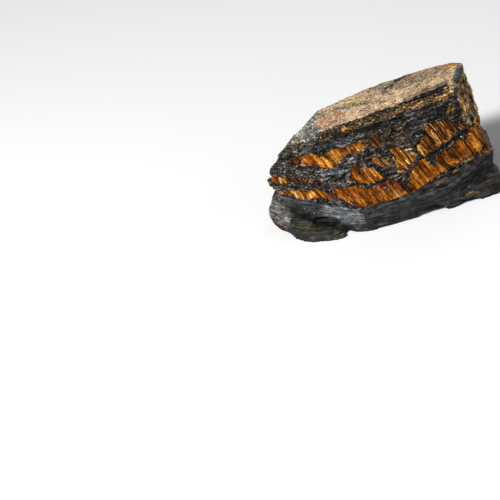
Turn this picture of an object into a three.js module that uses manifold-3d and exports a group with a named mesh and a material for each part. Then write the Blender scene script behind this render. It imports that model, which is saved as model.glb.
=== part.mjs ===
// Rough tiger iron: one broken, unpolished piece of banded ironstone. Beds of dark, granular hematite
// lie level, with lenses of golden fibrous quartz in them, on a thicker slab of smooth dark jasper and
// under a sandy crust. Millimetres, +Z up across the beds, X along the length, Y from the front back.
import * as THREE from "three";
import Module from "manifold-3d";
import { ConvexGeometry } from "three/addons/geometries/ConvexGeometry.js";
import { mergeVertices } from "three/addons/utils/BufferGeometryUtils.js";

const wasm = await Module();
wasm.setup();

// ---- Driving dimensions ----

// Heights of the beds above the base. The top of the slab climbs at both ends: `right` and `left` give
// the X from which it does, and its slope.
const SLAB_TOP = { level: 5.6, right: { x: 3, slope: 0.045 }, left: { x: -20, slope: 0.25 } };

// The foot of the crust as stations [x, z], and how its edge wavers
const CRUST_FOOT = [[-20, 21.1], [-3, 21.3], [4.6, 22], [11.5, 22.5], [21, 22.1], [25, 21.8]];
const CRUST_EDGE = { rise: 0.3, width: 4 };

// Fibres stand across the beds and lean: going up 1 mm they move LEAN back along X. `along` numbers
// them by the X at which they cross the height LEAN_LEVEL.
const LEAN = 0.42;
const LEAN_LEVEL = 14;

// The golden lenses are worn back behind the dark beds, with a steep ledge of LEDGE width around them,
// and their fibres break in bundles, each standing up to BUNDLE.rise higher or lower
const RECESS = 0.6;
const LEDGE = 0.5;
const BUNDLE = { width: 1.35, length: 5.5, rise: 0.48 };

// Going back from the front face, the borders of the lenses wander off their stations
const WANDER = { fullY: 8, along: 2.2, height: 0.77, width: 5 };

// Relief of the dark beds: lumps of two sizes, and beds of one thickness that stand out in steps, in
// places `stepWidth` wide, on waves `waveWidth` wide
const DARK = {
  rise: 0.34, width: 2.6, fineRise: 0.16, fineWidth: 1.3,
  bed: 1.5, step: 0.24, stepWidth: 9, wave: 0.5, waveWidth: 7,
};

// The slab's front broke smooth; from `fromY` to `fullY` and from `fromX` to `fullX` it turns rough
const SLAB = { rise: 0.13, roughRise: 0.42, width: 4.2, fromY: -4, fullY: 4, fromX: 20, fullX: 26 };

// The crust crumbles where it is broken and hardly at all on top, which has terraces
const CRUST = { rise: 0.36, topRise: 0.07, width: 1.7, terrace: 0.1, terraceWidth: 6, levels: 1.5 };

// A face counts as looking up when its normal's Z is over the first, and straight down under the second
const FACES_UP = 0.7;
const FACES_DOWN = -0.99;

// A crack in the top runs along the front rim, which has dropped by `drop` in front of it. It wavers by
// `wave`, in waves `waveWidth` wide, and lies above `low`.
const CRACK = {
  fromX: 3, toX: 21, y: -2.2, slope: 0.06, width: 0.5, drop: 0.5, wave: 0.5, waveWidth: 5, low: 21.3,
};

// Two triangles count as one flat face when the cosine of the angle between them is over this
const FLAT = 0.992;

// and as a fold when it is under this. Folds are drawn out by UNFOLD_SHARE in each round.
const FOLD = -0.3;
const UNFOLD_ROUNDS = 6;
const UNFOLD_SHARE = 0.7;

// An edge is turned only for a gain of this angle, and a cut stays this share of its edge off a corner
const TURN_GAIN = 0.02;
const CORNER_ROOM = 0.14;

// A triangle is a sliver when its area over the square of its longest edge is under this
const SLIVER = 0.03;

// A triangle may turn this far, as a cosine, when two of its points are drawn together
const MAY_TURN = 0.5;

// Points other than those of the base stay this far above it
const LIFT = 0.05;

// The shortest edge that is kept, and the longest in each kind of bed. Points closer than SAME_PLACE
// count as one.
const SHORTEST = 0.3;
const SAME_PLACE = 0.03;
const EDGE = { gold: 1.4, dark: 1.65, crust: 2.1, slab: 2.4, base: 9 };

// ---- Chunks: each is the hull of a few corners ----

// The upper body: the top bedding face, the waist of the broken sides, and the foot on the slab
const BODY = [
  [-17.6, -3.2, 21.9], [-3.3, -5, 22.4], [8, -4.2, 23], [21.3, -3, 23.6],
  [22.4, 9.3, 24], [25, 9.2, 23.2], [12.6, 10.2, 23.9], [2, 9.6, 23.2], [-9.3, 7.6, 22.3],
  [-21.3, 1.8, 16], [-25.2, 4.6, 10.2], [-10.3, -7.5, 15],
  [-5.4, -13, 4.8], [3, -12.5, 4.8], [11.7, -9.6, 4.8], [21.7, -5.6, 5.4], [25.8, -2, 5.4],
  [25.8, 9, 4.6], [18, 13, 4.6], [-6, 12.5, 4.6], [-19, 9.5, 4.8], [-22.8, 3, 5],
];

// The slab of jasper: its top ring, the point of its left end, and its base
const FOOT = [
  [-5.5, -13.3, 5.4], [13.8, -13, 5.5], [23.5, -4.9, 6.4], [26.6, -3.5, 6.4],
  [26.4, 9, 5], [18.5, 13.6, 5], [-6, 13.2, 5], [-19.5, 10, 5.4], [-24.6, 6.5, 6.4], [-22.8, 3, 5.6],
  [-27.5, 4.2, 2],
  [-26.6, 2, 0], [-23.9, -3.6, 0], [-21.7, -5.5, 0], [-5.3, -13.5, 0], [14.2, -13.3, 0],
  [25.2, -5.4, 0], [27, 8, 0], [18, 13, 0], [-8, 12.6, 0], [-20, 10, 0],
];

// Its foot, which flares out below the right-hand corner
const FLARE = [
  [13.2, -13.4, 0], [20.8, -13, 0], [26.5, -12.2, 0], [27, -2, 0],
  [14.4, -12.6, 2.2], [20.5, -9.6, 2.2], [26.3, -8.6, 2.6], [26.9, -3, 3],
];

// The low toe in front of the slab's left face: its top edge, the brow below that, and its base
const TOE = [
  [-22.8, -2.6, 3.3], [-20.4, -5.4, 3.3], [-17, -7.6, 2.9], [-13.4, -10.2, 2], [-19, -2, 3.3], [-12, -8, 2],
  [-22.2, -6.6, 1.5], [-20.3, -8.9, 1.7], [-17, -10.9, 1.6], [-13, -12.4, 1.1], [-10.9, -12.6, 0.8],
  [-23.2, -4.2, 0], [-21.8, -7.9, 0], [-20.2, -10, 0], [-17.8, -11.7, 0], [-14.6, -12.9, 0],
  [-11.6, -13.5, 0], [-9.9, -12.9, 0], [-8.8, -9, 0],
];

// The bundle of fibres that stands proud at the right end
const SPUR = [
  [22.4, -3.4, 14.2], [24.2, -1.6, 14], [21.8, -1, 14], [22.5, -5.4, 8], [26.6, -4.2, 8.2],
  [26.9, -2, 8], [26.2, -1.4, 7.2], [22.5, -1, 7.2], [25, -5, 7.2],
];

// Hollows broken out of the stone: centre, half sizes, and turn about Z in degrees
const SCOOPS = [
  { at: [-18.6, -5.2, 3.9], half: [3.4, 1.5, 0.7], turn: -40 }, // between the slab's left face and
  { at: [-14, -8.7, 2.6], half: [4.2, 1.6, 0.9], turn: -38 },   // the toe
  { at: [-9.2, -13.2, 0.2], half: [1.3, 2.6, 1.6], turn: 20 },  // at the toe's right end
  { at: [9.6, -14.4, -0.8], half: [3.9, 5, 3], turn: 0 },       // in the front edge of the base
  { at: [17.9, -14.6, -0.6], half: [4, 3.8, 1.9], turn: 0 },    // beside it, lower
  { at: [-2, 14.8, 13], half: [11, 3.4, 3.2], turn: 4 },        // along the back
  { at: [27.6, 3.5, 17.2], half: [2.6, 4, 3.4], turn: 0 },      // in the right end
  { at: [9, 14.6, 1.2], half: [6, 2.6, 1.7], turn: 0 },         // low on the back
];

// ---- Golden lenses ----

// Each lens is a row of stations [along, low, high]: its bottom and top at a place along the beds
const LENSES = [
  // the broad lens on the slab, to the right end, with notches in its top
  [
    [-13.3, 8.2, 9], [-11.9, 7.9, 10.3], [-9.6, 6.6, 10.5], [-7.9, 5.4, 10.4], [-5.7, 5.2, 10],
    [-4, 5.1, 9.2], [-2.5, 5, 8.9], [-2, 5, 7.9], [-1.3, 5, 7.8], [-1, 5, 9.4], [0.6, 5, 9.8],
    [2.1, 5.2, 9.4], [2.8, 5.4, 7.8], [3.6, 5.5, 7.9], [5, 5.7, 9.6], [6.5, 6, 10.5], [8.6, 6.4, 11.5],
    [9.6, 6.6, 11.4], [10.2, 6.7, 9.2], [11.6, 6.9, 9.5], [12.4, 7.1, 11.3], [14, 7.2, 10.9],
    [15.7, 7.3, 11.7], [17, 7.3, 11.3], [18.6, 7.3, 12], [19.6, 7.1, 11.4], [21.4, 6.8, 12.3],
    [23, 6.6, 13], [28, 6.5, 13],
  ],
  // the same bed on the left, and the thin one above it
  [[-27.5, 6, 7.4], [-25, 6, 8.1], [-20.5, 6.1, 8.6], [-15.3, 6.7, 9.6], [-13.5, 7.7, 8.4]],
  [[-26.5, 9.8, 11.8], [-24, 9.8, 11.8], [-21.5, 10.3, 11.6], [-13, 11.6, 12.2]],
  // the upper lens on the left, and a sliver beside it
  [
    [-17.5, 16.4, 17], [-16.2, 15.9, 17.6], [-14.2, 16.4, 18.3], [-12.7, 16.3, 18.8], [-11.4, 15.5, 18.8],
    [-9.9, 14.9, 17.8], [-8.7, 15, 17.8], [-6.4, 16, 18.4], [-3.6, 16.8, 18.8], [-1.2, 17, 19.1],
    [0.3, 17.6, 18.9], [0.8, 18, 18.5],
  ],
  [[1.9, 17, 18.2], [2.4, 16.8, 19.5], [3.8, 17.2, 19.4], [4.5, 18, 18.5]],
  // the row of tufts across the middle
  [
    [-7.1, 11.6, 12.2], [-6.7, 11.4, 12.9], [-5.3, 10.8, 14.2], [-4.4, 10.5, 15.2], [-3.3, 10.1, 14.4],
    [-2.4, 10.1, 13.4], [-1.2, 10, 12.8], [-0.6, 10.2, 11.2], [0.2, 10.3, 10.6],
  ],
  [[-0.3, 13.9, 14.6], [0.4, 13.3, 14.8], [1.3, 12.1, 14.9], [2.1, 12, 14], [2.9, 12.5, 13]],
  [
    [3.2, 10.5, 11.4], [3.8, 10.4, 13.6], [4.6, 10.5, 15.4], [6.2, 10.9, 15.7], [6.9, 11.3, 15.1],
    [8, 11.9, 13.4], [8.4, 12.1, 12.6],
  ],
  [[9.8, 13, 14], [10.7, 11.9, 14.7], [11.4, 12.3, 14.3], [11.7, 12.4, 12.9]],
  [
    [11.9, 12.5, 15.6], [13, 12.5, 15.8], [14.2, 12.7, 17.7], [15.8, 12.9, 18.4], [17.2, 13.3, 18.1],
    [18.9, 13.9, 18.2], [19.6, 14.1, 17.6], [20.4, 14.1, 16], [21.5, 14.1, 15.4], [22, 14.4, 14.7],
  ],
];

// ---- Repeatable roughness ----

const smoothstep = THREE.MathUtils.smoothstep;

// A number from -1 to 1 that belongs to a cell
function cellValue(x, y, z) {
  const wave = Math.sin(x * 127.1 + y * 311.7 + z * 74.7) * 43758.5453;
  return 2 * (wave - Math.floor(wave)) - 1;
}

// Smooth lumps about 1 wide, from -1 to 1
function lumps(x, y, z) {
  const [cx, cy, cz] = [Math.floor(x), Math.floor(y), Math.floor(z)];
  const [sx, sy, sz] = [smoothstep(x - cx, 0, 1), smoothstep(y - cy, 0, 1), smoothstep(z - cz, 0, 1)];
  const mix = THREE.MathUtils.lerp;
  const row = (dy, dz) => mix(cellValue(cx, cy + dy, cz + dz), cellValue(cx + 1, cy + dy, cz + dz), sx);
  const layer = (dz) => mix(row(0, dz), row(1, dz), sy);
  return mix(layer(0), layer(1), sz);
}

function lumpsAt(point, width, seed = 0) {
  return lumps(point.x / width + seed, point.y / width + seed, point.z / width - seed);
}

// The values at a place in a row of stations, each a place followed by its values
function valuesAt(stations, place) {
  const after = stations.findIndex(([start]) => start > place);
  const next = after < 0 ? stations.length - 1 : Math.max(after, 1);
  const [a, b] = [stations[next - 1], stations[next]];
  const share = THREE.MathUtils.clamp((place - a[0]) / (b[0] - a[0]), 0, 1);
  return a.slice(1).map((value, k) => THREE.MathUtils.lerp(value, b[k + 1], share));
}

// ---- Where a point lies in the beds ----

function along(point) {
  return point.x + LEAN * (point.z - LEAN_LEVEL);
}

// How far inside a lens a point is, negative outside
function insideLens(stations, point) {
  const far = smoothstep(point.y, 0, WANDER.fullY);
  const [across, up] = [point.y / WANDER.width, point.z / WANDER.width];
  const place = along(point) + WANDER.along * far * lumps(up, across, 7);
  const height = point.z + WANDER.height * far * lumps(point.x / WANDER.width, across, 3);
  const [low, high] = valuesAt(stations, place);
  return Math.min(place - stations[0][0], stations.at(-1)[0] - place, height - low, high - height);
}

function slabTop({ x }) {
  const { level, right, left } = SLAB_TOP;
  return level + right.slope * Math.max(0, x - right.x) + left.slope * Math.max(0, left.x - x);
}

function insideGold(point) {
  const inside = Math.max(...LENSES.map((stations) => insideLens(stations, point)));
  return Math.min(inside, point.z - slabTop(point));
}

// How far above the foot of the crust a point is
function insideCrust(point) {
  return point.z - valuesAt(CRUST_FOOT, point.x)[0] - CRUST_EDGE.rise * lumpsAt(point, CRUST_EDGE.width);
}

// How far behind the crack a point is, and far behind it where there is no crack
function behindCrack(point) {
  const here = point.z > CRACK.low && point.x > CRACK.fromX && point.x < CRACK.toX;
  const line = CRACK.y + CRACK.slope * point.x + CRACK.wave * lumpsAt(point, CRACK.waveWidth, 1);
  return here ? point.y - line : Infinity;
}

// ---- Relief: how far each point moves along its normal ----

function bundleRise(point) {
  const place = along(point) / BUNDLE.width;
  const line = Math.floor(place);
  const rise = (k) => cellValue(k, 5, Math.floor(point.z / BUNDLE.length)) * BUNDLE.rise;
  return THREE.MathUtils.lerp(rise(line), rise(line + 1), place - line);
}

function slabRelief(point) {
  const behind = smoothstep(point.y, SLAB.fromY, SLAB.fullY);
  const rough = Math.max(behind, smoothstep(point.x, SLAB.fromX, SLAB.fullX));
  return THREE.MathUtils.lerp(SLAB.rise, SLAB.roughRise, rough) * lumpsAt(point, SLAB.width, 6);
}

function darkRelief(point) {
  const bed = Math.round((point.z + DARK.wave * lumpsAt(point, DARK.waveWidth)) / DARK.bed);
  const step = DARK.step * lumps(bed, point.x / DARK.stepWidth, point.y / DARK.stepWidth);
  const fine = DARK.fineRise * lumpsAt(point, DARK.fineWidth, 9);
  return step + DARK.rise * lumpsAt(point, DARK.width) + fine;
}

function crustRelief(point, facesUp) {
  const terrace = CRUST.terrace * Math.round(CRUST.levels * lumpsAt(point, CRUST.terraceWidth, 4));
  const crumble = lumpsAt(point, CRUST.width, 2);
  if (facesUp < FACES_UP) return terrace + CRUST.rise * crumble;
  const dropped = CRACK.drop * (1 - smoothstep(behindCrack(point), 0, CRACK.width));
  return terrace + CRUST.topRise * crumble - dropped;
}

function relief(point, normal) {
  if (point.z < slabTop(point)) return slabRelief(point);
  if (insideCrust(point) > 0) return crustRelief(point, normal.z);
  const gold = smoothstep(insideGold(point), 0, LEDGE);
  return gold * (bundleRise(point) - RECESS) + (1 - gold) * darkRelief(point);
}

// ---- Nets: lists of points and of triangles of point numbers ----

const edgeKey = (a, b) => `${Math.min(a, b)} ${Math.max(a, b)}`;

// Cuts each edge where `place` gives a share of its length, and rebuilds the triangles around the cuts
function divide(net, place) {
  const points = [...net.points];
  const cuts = new Map();
  const cutOf = (a, b) => {
    const key = edgeKey(a, b);
    if (!cuts.has(key)) {
      const share = place(points[a], points[b], key);
      cuts.set(key, share ? points.push(points[a].clone().lerp(points[b], share)) - 1 : null);
    }
    return cuts.get(key);
  };
  const triangles = net.triangles.flatMap((corners) => {
    const middles = corners.map((corner, k) => cutOf(corner, corners[(k + 1) % 3]));
    return rebuild(corners, middles, middles.filter((middle) => middle !== null).length);
  });
  return { points, triangles };
}

// Turns the triangle until its cuts fit the pattern, then lists the new triangles
function rebuild([a, b, c], [ab, bc, ca], count) {
  if (count === 0) return [[a, b, c]];
  if (count === 3) return [[a, ab, ca], [ab, b, bc], [ca, bc, c], [ab, bc, ca]];
  if (count === 1 && ab !== null) return [[a, ab, c], [ab, b, c]];
  if (count === 2 && ca === null) return [[ab, b, bc], [a, ab, bc], [a, bc, c]];
  return rebuild([b, c, a], [bc, ca, ab], count);
}

// Halves the longest edge of each triangle until no edge is longer than `limit` allows at its middle
function refine(net, limit) {
  for (;;) {
    net = evenOut(net);
    const long = new Set();
    for (const corners of net.triangles) {
      const edges = corners.map((corner, k) => [corner, corners[(k + 1) % 3]]);
      const sized = edges.map(([a, b]) => ({ a, b, size: net.points[a].distanceTo(net.points[b]) }));
      const { a, b, size } = sized.reduce((best, edge) => (edge.size > best.size ? edge : best));
      const middle = net.points[a].clone().lerp(net.points[b], 0.5);
      if (size > limit(middle, facing(corners, net.points))) long.add(edgeKey(a, b));
    }
    if (long.size === 0) return net;
    net = divide(net, (a, b, key) => (long.has(key) ? 0.5 : null));
  }
}

// The two triangles at each edge, with the corner of each at which the edge starts
function sidesOf(triangles) {
  const sides = new Map();
  triangles.forEach((corners, t) => corners.forEach((corner, k) => {
    const key = edgeKey(corner, corners[(k + 1) % 3]);
    sides.set(key, [...(sides.get(key) ?? []), [t, k]]);
  }));
  return sides;
}

// Turns the edge between two triangles on one flat face wherever that makes both less pointed
function evenOut({ points, triangles: start }) {
  const triangles = [...start];
  for (;;) {
    const sides = sidesOf(triangles);
    const taken = new Set(sides.keys());
    const turned = new Set();
    for (const [[t, k], [u, m]] of sides.values()) {
      const [a, b, c] = [0, 1, 2].map((step) => triangles[t][(k + step) % 3]);
      const d = triangles[u][(m + 2) % 3];
      if (turned.has(t) || turned.has(u) || taken.has(edgeKey(c, d))) continue;
      if (!betterTurned(points[a], points[b], points[c], points[d])) continue;
      triangles[t] = [a, d, c];
      triangles[u] = [d, b, c];
      turned.add(t).add(u);
      taken.add(edgeKey(c, d));
    }
    if (turned.size === 0) return { points, triangles };
  }
}

// Draws the two ends of each edge shorter than `shortest` together, where that folds nothing over
function mergeShort({ points, triangles: start }, shortest) {
  let triangles = start;
  for (;;) {
    const fans = points.map(() => []);
    triangles.forEach((corners) => corners.forEach((corner) => fans[corner].push(corners)));
    const target = new Map();
    const busy = new Set();
    for (const [a, b] of triangles.flatMap(([p, q, r]) => [[p, q], [q, r], [r, p]])) {
      if (points[a].distanceTo(points[b]) > shortest) continue;
      const [keep, drop] = points[a].z < points[b].z ? [a, b] : [b, a];
      const near = new Set([...fans[a], ...fans[b]].flat());
      if ([...near].some((point) => busy.has(point))) continue;
      if (!mayMerge(points, fans, keep, drop)) continue;
      target.set(drop, keep);
      near.forEach((point) => busy.add(point));
    }
    if (target.size === 0) return { points, triangles };
    triangles = triangles.map((corners) => corners.map((corner) => target.get(corner) ?? corner));
    triangles = triangles.filter((corners) => new Set(corners).size === 3);
  }
}

// Whether point `drop` can move to `keep`: they share just two neighbours, and where they aren't one
// place already, no triangle turns over or becomes a sliver
function mayMerge(points, fans, keep, drop) {
  const neighbours = new Set(fans[keep].flat());
  const shared = new Set(fans[drop].flat().filter((point) => neighbours.has(point)));
  if (shared.size !== 4) return false;
  if (points[keep].distanceTo(points[drop]) < SAME_PLACE) return true;
  return fans[drop].filter((corners) => !corners.includes(keep)).every((corners) => {
    const moved = corners.map((corner) => (corner === drop ? keep : corner));
    const kept = facing(corners, points).dot(facing(moved, points)) > MAY_TURN;
    return kept && fullness(moved, points) > SLIVER;
  });
}

// A triangle's area over the square of its longest edge
function fullness(corners, points) {
  const [p, q, r] = corners.map((corner) => points[corner]);
  const longest = Math.max(p.distanceTo(q), q.distanceTo(r), r.distanceTo(p));
  return new THREE.Triangle(p, q, r).getArea() / longest ** 2;
}

function facing(corners, points) {
  const [p, q, r] = corners.map((corner) => points[corner]);
  return new THREE.Triangle(p, q, r).getNormal(new THREE.Vector3());
}

// Whether edge a-b, with c and d on either side of it, lies flat and is better replaced by c-d
function betterTurned(a, b, c, d) {
  const corners = [a, b, c, d];
  const cornerAngle = (p, q, r) => q.clone().sub(p).angleTo(r.clone().sub(p));
  const before = facing([0, 1, 2], corners);
  const others = [[1, 0, 3], [0, 3, 2], [3, 1, 2]].map((triangle) => facing(triangle, corners));
  if (others.some((normal) => normal.dot(before) < FLAT)) return false;
  return cornerAngle(c, a, b) + cornerAngle(d, a, b) > Math.PI + TURN_GAIN;
}

// Cuts the edges that cross a line, leaving out cuts that would fall too close to a corner
function crossing(valueA, valueB, level) {
  const share = (level - valueA) / (valueB - valueA);
  return share > CORNER_ROOM && share < 1 - CORNER_ROOM ? share : null;
}

function sliceAt(net, valueOf, level) {
  return divide(net, (a, b) => crossing(valueOf(a), valueOf(b), level));
}

// Cuts along the line between two bundles wherever it crosses gold
function sliceBundles(net) {
  return divide(net, (a, b) => {
    if (Math.min(insideGold(a), insideGold(b)) < LEDGE / 2) return null;
    const [placeA, placeB] = [along(a) / BUNDLE.width, along(b) / BUNDLE.width];
    return crossing(placeA, placeB, Math.ceil(Math.min(placeA, placeB)));
  });
}

// ---- From three.js geometry to a solid, and back ----

function solidFrom(geometry) {
  const bare = geometry.clone();
  bare.deleteAttribute("normal");
  bare.deleteAttribute("uv");
  const merged = mergeVertices(bare, 1e-4);
  const mesh = new wasm.Mesh({
    numProp: 3,
    vertProperties: Float32Array.from(merged.attributes.position.array),
    triVerts: Uint32Array.from(merged.index.array),
  });
  return new wasm.Manifold(mesh);
}

function chunk(corners) {
  return solidFrom(new ConvexGeometry(corners.map((corner) => new THREE.Vector3(...corner))));
}

function scoop({ at, half, turn }) {
  const geometry = new THREE.SphereGeometry(1, 10, 7);
  geometry.scale(...half);
  geometry.rotateZ(THREE.MathUtils.degToRad(turn));
  geometry.translate(...at);
  return solidFrom(geometry);
}

function netFrom(solid) {
  const { vertProperties, triVerts } = solid.getMesh();
  const points = [];
  for (let k = 0; k < vertProperties.length; k += 3) {
    points.push(new THREE.Vector3(...vertProperties.slice(k, k + 3)));
  }
  const triangles = [];
  for (let k = 0; k < triVerts.length; k += 3) triangles.push([...triVerts.slice(k, k + 3)]);
  return { points, triangles };
}

function geometryFrom(net) {
  const geometry = new THREE.BufferGeometry();
  geometry.setFromPoints(net.points);
  geometry.setIndex(net.triangles.flat());
  geometry.computeVertexNormals();
  return geometry;
}

// ---- The stone ----

function blockOut() {
  const whole = [BODY, FOOT, FLARE, TOE, SPUR].map(chunk).reduce((stone, piece) => stone.add(piece));
  return SCOOPS.map(scoop).reduce((stone, hollow) => stone.subtract(hollow), whole);
}

function edgeLimit(point, normal) {
  if (normal.z < FACES_DOWN) return EDGE.base;
  if (point.z < slabTop(point)) return EDGE.slab;
  if (insideCrust(point) > 0) return EDGE.crust;
  return insideGold(point) > -LEDGE ? EDGE.gold : EDGE.dark;
}

// Draws each point at which the surface folds back on itself to the middle of its neighbours, in a few
// rounds. Points of the base stay in it, and the sharp edge around the base is no fold.
function unfold({ points, triangles }) {
  const fans = points.map(() => new Set());
  for (const corners of triangles) {
    corners.forEach((corner) => corners.forEach((other) => fans[corner].add(other)));
  }
  const sides = [...sidesOf(triangles).values()];
  const inBase = triangles.map((corners) => corners.every((corner) => points[corner].z === 0));
  for (let round = 0; round < UNFOLD_ROUNDS; round += 1) {
    const normals = triangles.map((corners) => facing(corners, points));
    const folds = sides.filter(([[t], [u]]) => inBase[t] === inBase[u] && normals[t].dot(normals[u]) < FOLD);
    const loose = new Set(folds.flatMap(([[t], [u]]) => [...triangles[t], ...triangles[u]]));
    points = points.map((point, k) => {
      if (!loose.has(k)) return point;
      const near = [...fans[k]].map((other) => points[other]).filter(({ z }) => z === 0 || point.z > 0);
      const sum = near.reduce((total, other) => total.add(other), new THREE.Vector3());
      return point.clone().lerp(sum.divideScalar(near.length), UNFOLD_SHARE);
    });
  }
  return { points, triangles };
}

// Moves each point out or in. The base stays flat, and nothing goes below it.
function roughen(net) {
  const normals = geometryFrom(net).attributes.normal;
  const points = net.points.map((point, k) => {
    const normal = new THREE.Vector3().fromBufferAttribute(normals, k);
    const moved = point.clone().addScaledVector(normal, relief(point, normal));
    moved.z = point.z < LIFT / 2 ? 0 : Math.max(moved.z, LIFT);
    return moved;
  });
  return { points, triangles: net.triangles };
}

function tigerIron() {
  let net = refine(mergeShort(netFrom(blockOut()), SHORTEST), edgeLimit);
  net = mergeShort(sliceAt(net, insideGold, 0), SHORTEST);
  net = mergeShort(sliceAt(net, insideGold, LEDGE), SHORTEST);
  net = mergeShort(sliceBundles(net), SHORTEST);
  net = mergeShort(sliceAt(net, behindCrack, 0), SHORTEST);
  net = mergeShort(sliceAt(net, behindCrack, CRACK.width), SHORTEST);
  net = mergeShort(unfold(mergeShort(roughen(net), SHORTEST)), SHORTEST);
  const geometry = geometryFrom(net);
  geometry.computeBoundingBox();
  const middle = geometry.boundingBox.getCenter(new THREE.Vector3());
  geometry.translate(-middle.x, -middle.y, 0);
  const stone = new THREE.MeshStandardMaterial({ color: 0x5a5148, roughness: 0.75, metalness: 0 });
  const mesh = new THREE.Mesh(geometry, stone);
  mesh.name = "tiger_iron";
  return mesh;
}

const specimen = new THREE.Group();
specimen.add(tigerIron());

export default specimen;
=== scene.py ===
"""Rough tiger iron: the looks of a broken, unpolished piece of banded ironstone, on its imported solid.

Beds of dark granular hematite with lenses of golden fibrous quartz lie over a slab of smooth dark jasper
and under a sandy crust. Shapes are worked out in millimetres, in the frame of the beds, and handed to
Blender in metres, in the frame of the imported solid.
"""
import math
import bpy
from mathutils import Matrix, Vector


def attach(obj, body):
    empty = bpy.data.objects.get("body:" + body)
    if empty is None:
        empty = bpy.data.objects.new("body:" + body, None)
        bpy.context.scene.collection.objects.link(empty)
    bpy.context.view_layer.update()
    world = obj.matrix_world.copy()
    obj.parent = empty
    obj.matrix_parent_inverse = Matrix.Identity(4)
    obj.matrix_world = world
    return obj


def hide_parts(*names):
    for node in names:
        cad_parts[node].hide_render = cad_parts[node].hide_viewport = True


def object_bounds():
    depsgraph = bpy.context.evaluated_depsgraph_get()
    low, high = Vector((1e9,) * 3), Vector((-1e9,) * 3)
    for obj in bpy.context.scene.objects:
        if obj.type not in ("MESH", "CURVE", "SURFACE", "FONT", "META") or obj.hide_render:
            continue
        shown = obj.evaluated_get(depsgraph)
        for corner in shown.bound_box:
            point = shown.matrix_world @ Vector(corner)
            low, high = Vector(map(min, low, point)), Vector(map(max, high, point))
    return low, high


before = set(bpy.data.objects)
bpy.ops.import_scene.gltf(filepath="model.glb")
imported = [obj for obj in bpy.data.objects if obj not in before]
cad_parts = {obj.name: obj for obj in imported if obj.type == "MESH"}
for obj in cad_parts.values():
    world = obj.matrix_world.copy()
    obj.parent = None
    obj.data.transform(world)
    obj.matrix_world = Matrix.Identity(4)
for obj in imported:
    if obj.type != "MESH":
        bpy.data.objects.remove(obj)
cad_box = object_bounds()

from types import SimpleNamespace

import bpy
import numpy as np
from mathutils import Matrix, Vector
from mathutils.bvhtree import BVHTree

# ---- Driving dimensions, in millimetres ----

MM = 0.001
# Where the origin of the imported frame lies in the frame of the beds
BEDS_ORIGIN = np.array([0.118, 0.091, 0.0])

# The beds, as in the solid's source: the slab's top and how it climbs at both ends, and the crust's foot
SLAB_TOP = SimpleNamespace(level=5.6, right=(3, 0.045), left=(-20, 0.25))
CRUST_FOOT = [(-20, 21.1), (-3, 21.3), (4.6, 22), (11.5, 22.5), (21, 22.1), (25, 21.8)]
# Fibres lean: going up 1 mm they move LEAN back along X. `along` is their X at the height LEAN_LEVEL.
LEAN, LEAN_LEVEL = 0.42, 14
# Going back from the front face, the borders of the lenses wander off their stations
WANDER = SimpleNamespace(full_y=8, along=2.2, height=0.77, width=5)
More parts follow.
